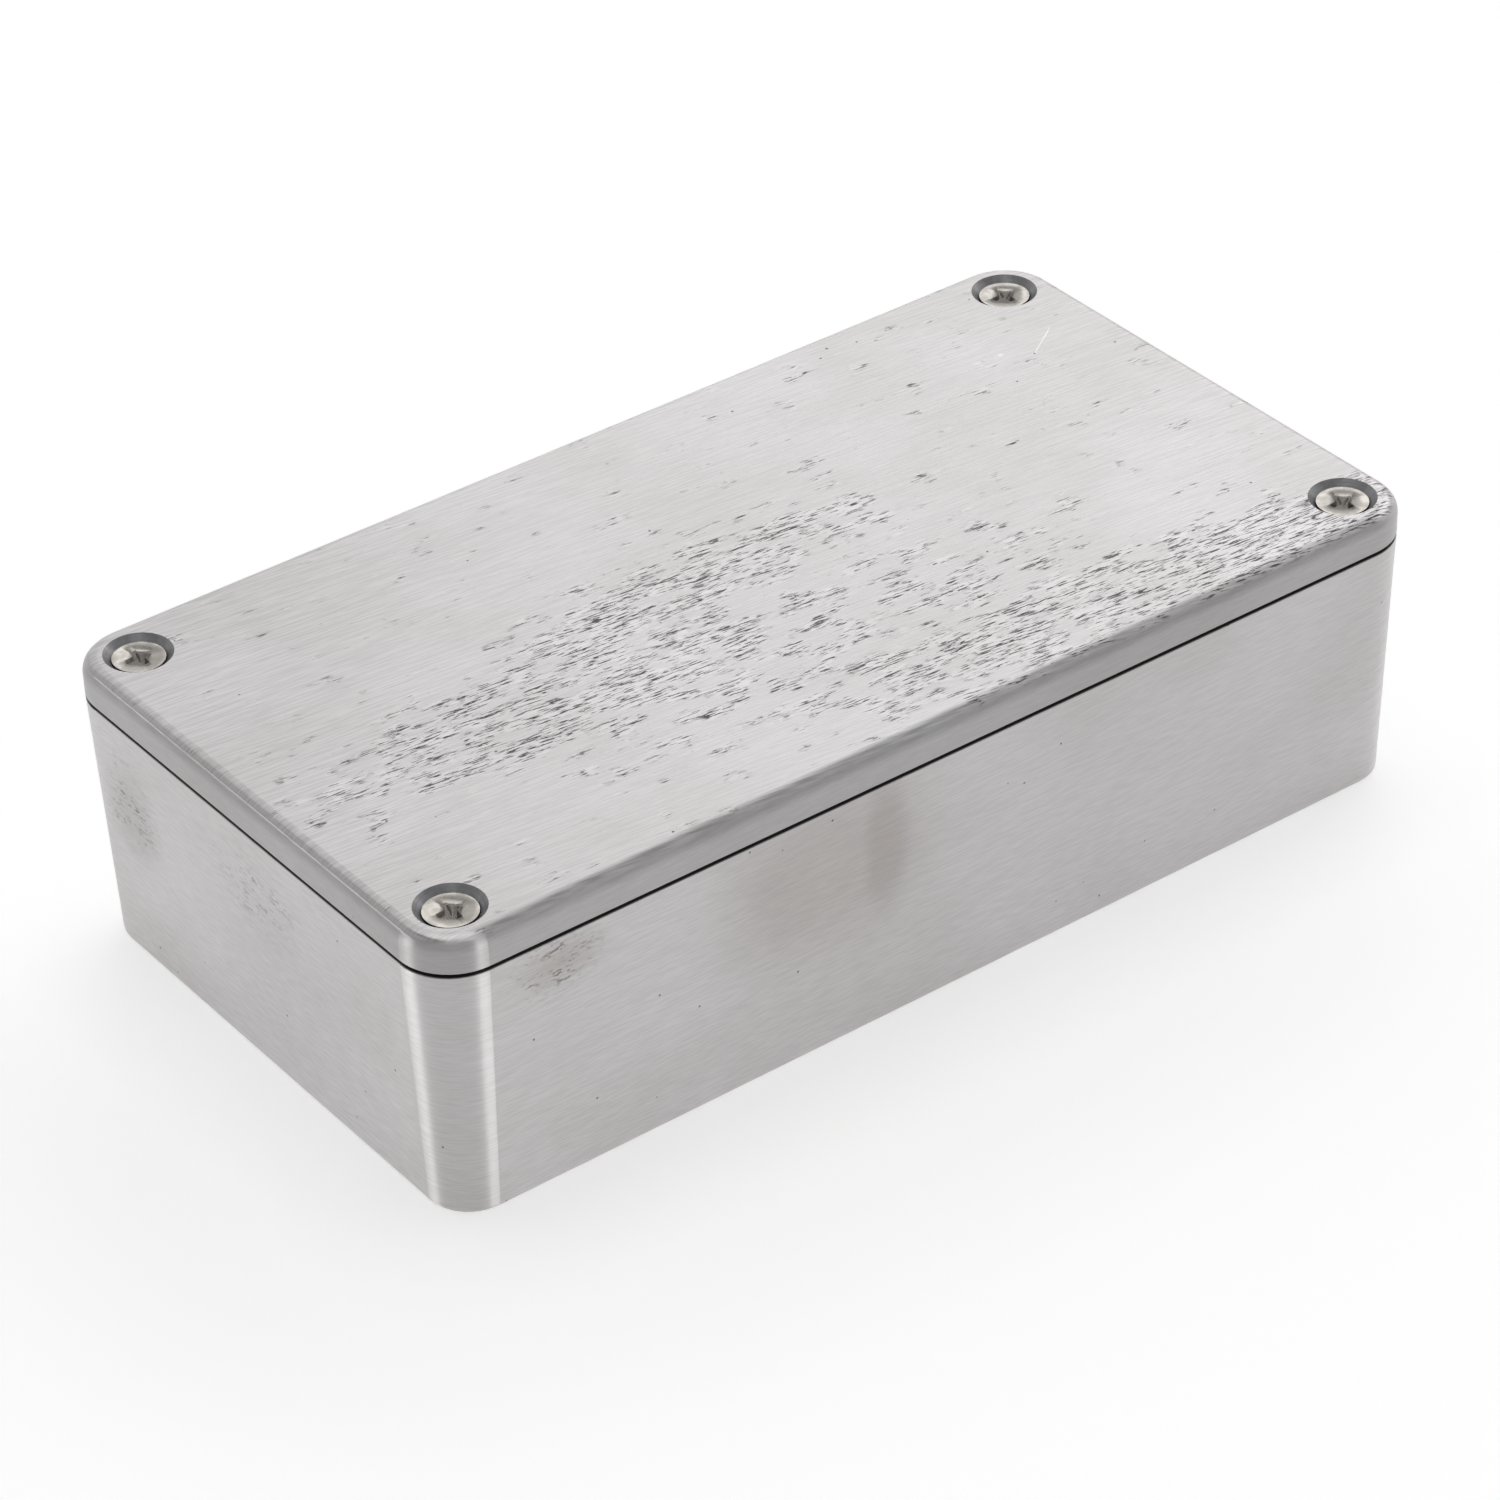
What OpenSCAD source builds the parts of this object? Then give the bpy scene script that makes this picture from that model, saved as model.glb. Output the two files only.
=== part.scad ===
// Die-cast aluminium project box: a drafted base, a lid that plugs into it and four countersunk screws.
// X runs along the length, Y along the width, Z up from the middle of the underside. Millimetres.

/* [Box] */
// Length at the seam between base and lid
box_length = 112; // [100:0.5:140]
// Width at the seam between base and lid
box_width = 60.5; // [54:0.5:90]
// Height of the closed box
box_height = 30.5; // [26:0.5:60]
// Radius of the upright corners at the seam
corner_r = 5.5; // [5:0.1:6.5]
// Height of the band that the lid shows above the seam
lid_height = 3.7; // [3.6:0.1:5]
// Bevel on the two edges that meet at the seam
seam_bevel = 0.25; // [0.1:0.05:0.4]

/* [Base] */
// Wall thickness at the rim
wall = 2; // [1.6:0.1:2.4]
// Thickness of the floor
floor_t = 2.2; // [1.6:0.1:3]
// How far each outer side leans in on its way down
outer_draft = 1.05; // [0.3:0.05:1.4]
// How far each inner side leans in on its way down
inner_draft = 0.7; // [0.2:0.05:1]
// Rounding of the outer edge round the underside
foot_edge_r = 0.6; // [0.2:0.1:1]
// Rounding between the inner sides and the floor
floor_edge_r = 1.2; // [0.4:0.1:1.2]

/* [Corner bosses] */
// Distance between the screws along the length
screw_pitch_x = 101.4; // [100.6:0.1:102.4]
// Distance between the screws along the width
screw_pitch_y = 50; // [49.6:0.1:51]
// Radius of a boss at the rim
boss_r = 4; // [3.8:0.1:4.6]
// How much wider a boss is at the floor, as a radius
boss_draft = 0.4; // [0.1:0.05:0.8]
// Diameter over the thread of a tapped hole
tapped_d = 3; // [3:0.01:3.1]
// Depth of the full thread in a boss
tapped_depth = 14; // [10:0.5:18]
// Width of the bevel at the mouth of a tapped hole
mouth_bevel = 0.3; // [0.1:0.05:0.5]

/* [Lid] */
// Thickness of the top plate
plate_t = 2.2; // [1.8:0.1:2.8]
// Rounding of the edge round the top
top_edge_r = 1.45; // [0.8:0.05:2]
// How far the tongue reaches below the seam
tongue_depth = 2.6; // [1.5:0.1:4]
// Thickness of the tongue
tongue_t = 1.5; // [1:0.1:1.6]
// Clearance between the tongue and the base
tongue_gap = 0.25; // [0.2:0.05:0.4]
// Diameter of a countersink at the lid's face
countersink_d = 6.55; // [6:0.05:7]
// Diameter of a screw hole
screw_hole_d = 3.4; // [3.3:0.05:3.6]

/* [Screws] */
// Diameter over the thread
screw_d = 2.9; // [2.7:0.05:2.95]
// Length with the head
screw_length = 12; // [8:0.5:14]
// Diameter of the head
head_d = 5; // [4.6:0.05:5.5]
// Height of the straight edge of the head
head_land = 0.2; // [0.1:0.05:0.3]
// Width across the cross recess
recess_w = 2.8; // [2.4:0.1:3]
// Thickness of one wing of the cross recess
recess_wing_t = 0.75; // [0.5:0.05:0.9]
// Depth of the cross recess
recess_depth = 1.2; // [0.8:0.1:1.4]

/* [Ejector marks] */
// Diameter of the round marks that the mould's pins leave inside
ejector_d = 5; // [3:0.5:7]
// Depth of the marks
ejector_depth = 0.15; // [0.1:0.05:0.3]
// Place of the outer marks along the length
ejector_x = 38; // [30:1:40]
// Place of the marks along the width
ejector_y = 17; // [12:1:19]

/* [Hidden] */
$fn = 96;
seam_z = box_height - lid_height;
cavity_h = seam_z - floor_t;
boss_h = seam_z - floor_t / 2;
tongue_inset = wall + tongue_gap;
pocket_inset = tongue_inset + tongue_t;
countersink_h = (countersink_d - screw_hole_d) / 2;
// The head stands off its countersink by this much, measured square to the cone
seat_gap = 0.05;
head_cone_h = (head_d - screw_d) / 2;
head_sink = (countersink_d - head_d) / 2 - head_land - seat_gap * sqrt(2);
screw_tip_z = box_height - head_sink - screw_length;
tip_bevel = 0.45;
recess_bottom_w = 1.1;
drill_point_angle = 118;
drill_point_h = tapped_d / 2 / tan(drill_point_angle / 2);
// Steps in the rounding at the foot of a leaning side
edge_steps = 8;
// Cuts run past the faces they open
past = 1;
casting = "#c9c6c6";
plating = "#b9b8b6";

// Copies at the four screws
module at_screws() {
  for (side_x = [-1, 1], side_y = [-1, 1])
    translate([side_x * screw_pitch_x / 2, side_y * screw_pitch_y / 2, 0])
      children();
}

// A block with rounded upright corners. Its child is half a section, drawn from the middle out to
// $reach: swept straight along the sides and turned round the corners, it keeps its draft and edges.
module rounded_block(length, width, radius) {
  straight_x = length - 2 * radius;
  straight_y = width - 2 * radius;
  rotate([90, 0, 90])
    linear_extrude(height = straight_x, center = true)
      for (side = [0, 1])
        mirror([side, 0]) let ($reach = width / 2) children();
  for (side = [0, 1])
    mirror([side, 0, 0])
      translate([straight_x / 2, 0, 0])
        rotate([90, 0, 0])
          linear_extrude(height = straight_y, center = true)
            let ($reach = radius) children();
  for (side_x = [0, 1], side_y = [0, 1])
    mirror([side_x, 0, 0])
      mirror([0, side_y, 0])
        translate([straight_x / 2, straight_y / 2, 0])
          rotate_extrude(angle = 90)
            let ($reach = radius) children();
}

// Half a section that leans in on its way down and is rounded at its foot
module leaning_section(height, draft, edge_r, bevel = 0, rise = 0) {
  lean = atan(draft / height);
  edge_x = $reach - draft + edge_r * (tan(lean) - 1 / cos(lean));
  top_x = $reach + rise * tan(lean);
  top_z = height + rise;
  foot = [
    for (step = [0:edge_steps])
      let (turn = -90 + step * (90 - lean) / edge_steps)
        [edge_x + edge_r * cos(turn), edge_r + edge_r * sin(turn)]
  ];
  bevelled_top = [[top_x - bevel * tan(lean), top_z - bevel], [top_x - bevel, top_z]];
  square_top = [[top_x, top_z]];
  polygon(concat([[0, 0]], foot, bevel > 0 ? bevelled_top : square_top, [[0, top_z]]));
}

// Half a section of the lid: upright sides, bevelled at the seam and rounded at the top
module lid_section() {
  polygon([
    [0, 0],
    [$reach - seam_bevel, 0],
    [$reach, seam_bevel],
    [$reach, lid_height - top_edge_r],
    [$reach - top_edge_r, lid_height],
    [0, lid_height]
  ]);
  translate([$reach - top_edge_r, lid_height - top_edge_r])
    circle(top_edge_r);
}

// Outline set in from the seam that turns inward round each boss
module plan_round_bosses(inset, boss_margin) {
  length = box_length - 2 * inset;
  width = box_width - 2 * inset;
  radius = corner_r - inset;
  difference() {
    union() {
      square([length - 2 * radius, width], center = true);
      square([length, width - 2 * radius], center = true);
      for (side_x = [-1, 1], side_y = [-1, 1])
        translate([side_x * (length / 2 - radius), side_y * (width / 2 - radius)])
          circle(radius);
    }
    at_screws()
      circle(boss_r + boss_margin);
  }
}

// Shallow round marks, cut upward from z = 0
module ejector_marks() {
  for (place = [-1, 0, 1], side_y = [-1, 1])
    translate([place * ejector_x, side_y * ejector_y, 0])
      cylinder(d = ejector_d, h = ejector_depth + past);
}

// Blind hole with a drilled end and a bevelled mouth at z = 0
module tapped_hole() {
  rotate_extrude()
    polygon([
      [0, -tapped_depth - drill_point_h],
      [tapped_d / 2, -tapped_depth],
      [tapped_d / 2, -mouth_bevel],
      [tapped_d / 2 + mouth_bevel + past, past],
      [0, past]
    ]);
}

// Countersunk hole through the lid, with the seam at z = 0
module countersunk_hole() {
  rotate_extrude()
    polygon([
      [0, -past],
      [screw_hole_d / 2, -past],
      [screw_hole_d / 2, lid_height - countersink_h],
      [countersink_d / 2 + past, lid_height + past],
      [0, lid_height + past]
    ]);
}

module base() {
  color(casting)
    difference() {
      rounded_block(box_length, box_width, corner_r)
        leaning_section(seam_z, outer_draft, foot_edge_r, seam_bevel);
      difference() {
        translate([0, 0, floor_t])
          rounded_block(box_length - 2 * wall, box_width - 2 * wall, corner_r - wall)
            leaning_section(cavity_h, inner_draft, floor_edge_r, rise = past);
        at_screws()
          translate([0, 0, seam_z - boss_h])
            cylinder(r1 = boss_r + boss_draft, r2 = boss_r, h = boss_h);
      }
      translate([0, 0, floor_t - ejector_depth])
        ejector_marks();
      at_screws()
        translate([0, 0, seam_z])
          tapped_hole();
    }
}

module lid() {
  color(casting)
    difference() {
      union() {
        translate([0, 0, seam_z])
          rounded_block(box_length, box_width, corner_r)
            lid_section();
        translate([0, 0, seam_z - tongue_depth])
          linear_extrude(height = tongue_depth + past)
            plan_round_bosses(tongue_inset, tongue_gap);
      }
      translate([0, 0, seam_z - tongue_depth - past])
        linear_extrude(height = tongue_depth + past + lid_height - plate_t)
          plan_round_bosses(pocket_inset, tongue_gap + tongue_t);
      translate([0, 0, box_height - plate_t + ejector_depth])
        mirror([0, 0, 1])
          ejector_marks();
      at_screws()
        translate([0, 0, seam_z])
          countersunk_hole();
    }
}

// Cross recess, cut downward from z = 0
module cross_recess() {
  intersection() {
    translate([0, 0, -recess_depth])
      cylinder(d1 = recess_bottom_w, d2 = recess_w, h = recess_depth);
    for (turn = [0, 90])
      rotate(turn)
        cube([recess_w, recess_wing_t, 2 * recess_depth], center = true);
  }
}

module lid_screw(side_x, side_y) {
  translate([side_x * screw_pitch_x / 2, side_y * screw_pitch_y / 2, screw_tip_z])
    color(plating)
      difference() {
        rotate_extrude()
          polygon([
            [0, 0],
            [screw_d / 2 - tip_bevel, 0],
            [screw_d / 2, tip_bevel],
            [screw_d / 2, screw_length - head_land - head_cone_h],
            [head_d / 2, screw_length - head_land],
            [head_d / 2, screw_length],
            [0, screw_length]
          ]);
        translate([0, 0, screw_length])
          cross_recess();
      }
}

base();
lid();
lid_screw(-1, -1);  // screw_front_left
lid_screw(1, -1);  // screw_front_right
lid_screw(-1, 1);  // screw_back_left
lid_screw(1, 1);  // screw_back_right
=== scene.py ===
"""Studio scene of a die-cast aluminium project box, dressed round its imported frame.

Lengths are metres, as in the frame, unless a name ends in _mm. Patterns on the metal are read in
millimetres. X runs along the box, Y across it away from the long side that faces the camera, and
Z up.
"""

import logging
import math
from dataclasses import asdict, dataclass, fields
from enum import Enum

import bmesh
import bpy
from mathutils import Matrix, Vector


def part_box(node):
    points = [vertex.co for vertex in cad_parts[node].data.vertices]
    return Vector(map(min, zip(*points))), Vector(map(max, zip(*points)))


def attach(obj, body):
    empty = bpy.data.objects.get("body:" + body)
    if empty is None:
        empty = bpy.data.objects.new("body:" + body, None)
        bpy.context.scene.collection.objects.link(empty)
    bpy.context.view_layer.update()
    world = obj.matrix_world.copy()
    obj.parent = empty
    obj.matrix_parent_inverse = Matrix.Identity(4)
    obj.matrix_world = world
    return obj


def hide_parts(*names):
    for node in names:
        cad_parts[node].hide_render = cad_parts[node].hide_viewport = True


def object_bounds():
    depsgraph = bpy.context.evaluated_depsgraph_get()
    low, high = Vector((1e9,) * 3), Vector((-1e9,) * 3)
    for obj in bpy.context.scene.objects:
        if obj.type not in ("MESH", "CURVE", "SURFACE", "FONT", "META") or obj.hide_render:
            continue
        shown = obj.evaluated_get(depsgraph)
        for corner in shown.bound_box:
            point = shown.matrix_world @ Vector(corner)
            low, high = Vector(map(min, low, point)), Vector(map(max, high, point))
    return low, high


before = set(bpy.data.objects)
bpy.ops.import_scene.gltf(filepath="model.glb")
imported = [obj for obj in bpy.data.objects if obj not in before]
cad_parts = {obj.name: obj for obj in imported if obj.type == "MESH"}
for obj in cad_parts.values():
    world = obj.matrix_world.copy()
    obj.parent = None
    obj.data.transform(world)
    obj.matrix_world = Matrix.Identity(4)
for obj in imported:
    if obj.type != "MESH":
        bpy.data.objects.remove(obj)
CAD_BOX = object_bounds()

MM = 0.001
MM_PER_METRE = 1000.0
# Points nearer to each other than this are one point
WELD_REACH = 1e-6
# Shared by the screws and the holes that they turn into
THREAD_PITCH = 0.6 * MM
THREAD_RUNOUT = 0.5 * MM

LOG = logging.getLogger("project_box")

Socket = bpy.types.NodeSocket
Triple = tuple[float, float, float]
Rgb = Triple
# The two ends of a fade or a blend
Ramp = tuple[float, float]
Feed = Socket | float | Triple


class Corner(Enum):
    """The corners of the lid, each with the name of its screw's node."""

    FRONT_LEFT = "screw_front_left"
    FRONT_RIGHT = "screw_front_right"
    BACK_LEFT = "screw_back_left"
    BACK_RIGHT = "screw_back_right"

    @property
    def node(self) -> str:
        """Name of the screw's node, which is its body's name too."""
        return self.value

    @property
    def axis(self) -> Vector:
        """Point on the screw's axis, at the height of the underside."""
        low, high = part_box(self.node)
        return Vector(((low.x + high.x) / 2, (low.y + high.y) / 2, 0.0))


class Zone(Enum):
    """Parts of a casting's surface that differ in finish."""

    OUTSIDE = 0
    INSIDE = 1
    HOLE = 2


class ThreadSide(Enum):
    """Where a thread is, with the rows of faces in one of its turns."""

    SHANK = 24
    HOLE = 12


class Wear(Enum):
    """Kinds of wear, each with its tint on the metal and its height over the face in millimetres."""

    PIT = ((0.25, 0.25, 0.25), -0.06)
    NICK = ((0.15, 0.15, 0.155), -0.001)
    BURR = ((1.13, 1.13, 1.13), 0.0002)
    SCRATCH = ((1.3, 1.3, 1.3), -0.01)

    @property
    def tint(self) -> Rgb:
        """What the metal's colour is multiplied by."""
        return self.value[0]

    @property
    def height_mm(self) -> float:
        """Height over the face, below it where negative."""
        return self.value[1]


@dataclass(frozen=True)
class Grain:
    """A noise pattern: its features in a millimetre of each coordinate, and its finer layers."""

    per_mm: Triple
    layers: float


class NodeBench:
    """Adds nodes to one tree and links them."""

    NOISE_ROUGHNESS = 0.55

    def __init__(self, tree: bpy.types.NodeTree) -> None:
        """Starts from an empty tree."""
        self.tree = tree
        tree.nodes.clear()

    def add(self, kind: str, **settings: object) -> bpy.types.Node:
        """Adds a node.

        Args:
            kind: The node's type name.
            settings: Properties of the node, by name.

        Returns:
            The new node.
        """
        node = self.tree.nodes.new(kind)
        for name, value in settings.items():
            setattr(node, name, value)
        return node

    def feed(self, socket: Socket, value: Feed) -> None:
        """Links a socket to another one, or sets it to a constant.

        Args:
            socket: The input that is fed.
            value: An output to link, or the constant.
        """
        if isinstance(value, bpy.types.NodeSocket):
            self.tree.links.new(value, socket)
        else:
            socket.default_value = value

    def math(self, operation: str, first: Feed, second: Feed = 0.0, third: Feed = 0.0) -> Socket:
        """Adds a Math node.

        Args:
            operation: The node's operation.
            first: First value.
            second: Second value, where the operation has one.
            third: Third value, where the operation has one.

        Returns:
            The result.
        """
        node = self.add("ShaderNodeMath", operation=operation)
        for socket, value in zip(node.inputs, (first, second, third)):
            self.feed(socket, value)
        return node.outputs[0]

    def vector(self, operation: str, first: Feed, second: Feed = (0.0, 0.0, 0.0)) -> Socket:
        """Adds a Vector Math node.

        Args:
            operation: The node's operation.
            first: First vector.
            second: Second vector, where the operation has one.

        Returns:
            The result, a number for the operations that give one.
        """
        node = self.add("ShaderNodeVectorMath", operation=operation)
        self.feed(node.inputs[0], first)
        self.feed(node.inputs[1], second)
        gives_number = operation in ("LENGTH", "DISTANCE", "DOT_PRODUCT")
        return node.outputs["Value" if gives_number else "Vector"]

    def fade(self, value: Feed, start: float, end: float, low: float = 0.0, high: float = 1.0) -> Socket:
        """Maps a value smoothly, and holds it past both ends.

        Args:
            value: What is mapped.
            start: Value at which the result is low.
            end: Value at which the result is high.
            low: Result at the start.
            high: Result at the end.

        Returns:
            The mapped value.
        """
        node = self.add("ShaderNodeMapRange", interpolation_type="SMOOTHSTEP")
        settings = (value, start, end, low, high)
        for name, setting in zip(("Value", "From Min", "From Max", "To Min", "To Max"), settings):
            self.feed(node.inputs[name], setting)
        return node.outputs["Result"]

    def blend(self, share: Feed, first: Feed, second: Feed) -> Socket:
        """Blends two numbers.

        Args:
            share: Share of the second number.
            first: Result at share 0.
            second: Result at share 1.

        Returns:
            The blend.
        """
        node = self.add("ShaderNodeMix", data_type="FLOAT")
        for socket, value in zip((node.inputs[0], node.inputs[2], node.inputs[3]), (share, first, second)):
            self.feed(socket, value)
        return node.outputs[0]

    def blend_vectors(self, share: Feed, first: Feed, second: Feed) -> Socket:
        """Blends two vectors or colours.

        Args:
            share: Share of the second one.
            first: Result at share 0.
            second: Result at share 1.

        Returns:
            The blend.
        """
        node = self.add("ShaderNodeMix", data_type="VECTOR")
        for socket, value in zip((node.inputs[0], node.inputs[4], node.inputs[5]), (share, first, second)):
            self.feed(socket, value)
        return node.outputs[1]

    def tint(self, colour: Feed, share: Feed, tint: Rgb) -> Socket:
        """Multiplies a colour by a tint, in full at share 1 and not at all at share 0."""
        return self.vector("MULTIPLY", colour, self.blend_vectors(share, (1.0, 1.0, 1.0), tint))

    def height(self, place: Socket) -> Socket:
        """Third coordinate of a place."""
        return self.vector("DOT_PRODUCT", place, (0.0, 0.0, 1.0))

    def noise(self, place: Socket, grain: Grain) -> Socket:
        """Adds a noise pattern.

        Args:
            place: Coordinates that it is read at, in millimetres.
            grain: The pattern.

        Returns:
            The pattern's value, from 0 to 1.
        """
        node = self.add("ShaderNodeTexNoise", noise_dimensions="3D")
        self.feed(node.inputs["Vector"], self.vector("MULTIPLY", place, grain.per_mm))
        node.inputs["Scale"].default_value = 1.0
        node.inputs["Detail"].default_value = grain.layers
        node.inputs["Roughness"].default_value = self.NOISE_ROUGHNESS
        return node.outputs["Fac"]

    def bump(self, height_mm: Socket) -> Socket:
        """Adds a relief.

        Args:
            height_mm: Height over the face.

        Returns:
            The bumped normal.
        """
        node = self.add("ShaderNodeBump")
        node.inputs["Strength"].default_value = 1.0
        node.inputs["Distance"].default_value = MM
        self.feed(node.inputs["Height"], height_mm)
        return node.outputs["Normal"]


class MetalBench(NodeBench):
    """Bench of one metal: its material, its shader and its Object coordinates in millimetres."""

    def __init__(self, name: str) -> None:
        """Starts the metal.

        Args:
            name: The material's name.
        """
        self.material = bpy.data.materials.new(name)
        self.material.use_nodes = True
        super().__init__(self.material.node_tree)
        output = self.add("ShaderNodeOutputMaterial")
        self.shader = self.add("ShaderNodeBsdfPrincipled")
        self.feed(output.inputs["Surface"], self.shader.outputs["BSDF"])
        self.give("Metallic", 1.0)
        coordinates = self.add("ShaderNodeTexCoord").outputs["Object"]
        self.place = self.vector("MULTIPLY", coordinates, (MM_PER_METRE,) * 3)

    def give(self, name: str, value: Feed) -> None:
        """Links or sets one of the shader's own inputs."""
        self.feed(self.shader.inputs[name], value)

    def off_middle(self, middle_mm: Triple, reach_mm: Triple) -> Socket:
        """Distance from the middle of an ellipsoid, 1 on its surface."""
        offset = self.vector("SUBTRACT", self.place, middle_mm)
        return self.vector("LENGTH", self.vector("DIVIDE", offset, reach_mm))


@dataclass(frozen=True)
class SoftMark:
    """A soft stain on a face, within an ellipsoid in millimetres."""

    SMEARS = Grain((0.35, 0.35, 0.9), 3.0)
    SMEAR_RAMP = (0.38, 0.62)
    SPECKS = Grain((1.3, 1.3, 3.4), 2.0)
    SPECK_RAMP = (0.50, 0.64)

    middle_mm: Triple
    reach_mm: Triple
    tint: Rgb
    core: float = 0.2
    speckled: bool = False

    def share(self, bench: MetalBench) -> Socket:
        """Finds the mark.

        Args:
            bench: The metal's bench.

        Returns:
            A share that is 1 in the middle of the mark and 0 outside it.
        """
        near = bench.fade(bench.off_middle(self.middle_mm, self.reach_mm), self.core, 1.0, 1.0, 0.0)
        if not self.speckled:
            return near
        smears = bench.fade(bench.noise(bench.place, self.SMEARS), *self.SMEAR_RAMP)
        specks = bench.fade(bench.noise(bench.place, self.SPECKS), *self.SPECK_RAMP)
        return bench.math("MULTIPLY", near, bench.math("MULTIPLY", smears, specks))


@dataclass(frozen=True)
class Scratch:
    """A thin bright scratch between two points, in millimetres."""

    CORE = 0.4

    start_mm: Triple
    end_mm: Triple
    half_width_mm: float

    def share(self, bench: MetalBench) -> Socket:
        """Finds the scratch.

        Args:
            bench: The metal's bench.

        Returns:
            A share that is 1 on the scratch and 0 off it.
        """
        along = Vector(self.end_mm) - Vector(self.start_mm)
        offset = bench.vector("SUBTRACT", bench.place, self.start_mm)
        step = bench.vector("DOT_PRODUCT", offset, tuple(along / along.length_squared))
        step = bench.math("MINIMUM", bench.math("MAXIMUM", step, 0.0), 1.0)
        nearest = bench.vector("MULTIPLY", step, tuple(along))
        off_line = bench.vector("DISTANCE", offset, nearest)
        return bench.fade(off_line, self.CORE * self.half_width_mm, self.half_width_mm, 1.0, 0.0)


@dataclass(frozen=True)
class ScuffedArea:
    """Part of a level face where dark nicks along the brush lines gather."""

    REACH_RAMP = (0.4, 1.1)

    middle_mm: Triple
    reach_mm: Triple
    crowding: float

    def crowd(self, bench: MetalBench) -> Socket:
        """How much the area adds to the crowding of the nicks."""
        off_middle = bench.off_middle(self.middle_mm, self.reach_mm)
        return bench.fade(off_middle, *self.REACH_RAMP, self.crowding, 0.0)


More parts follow.
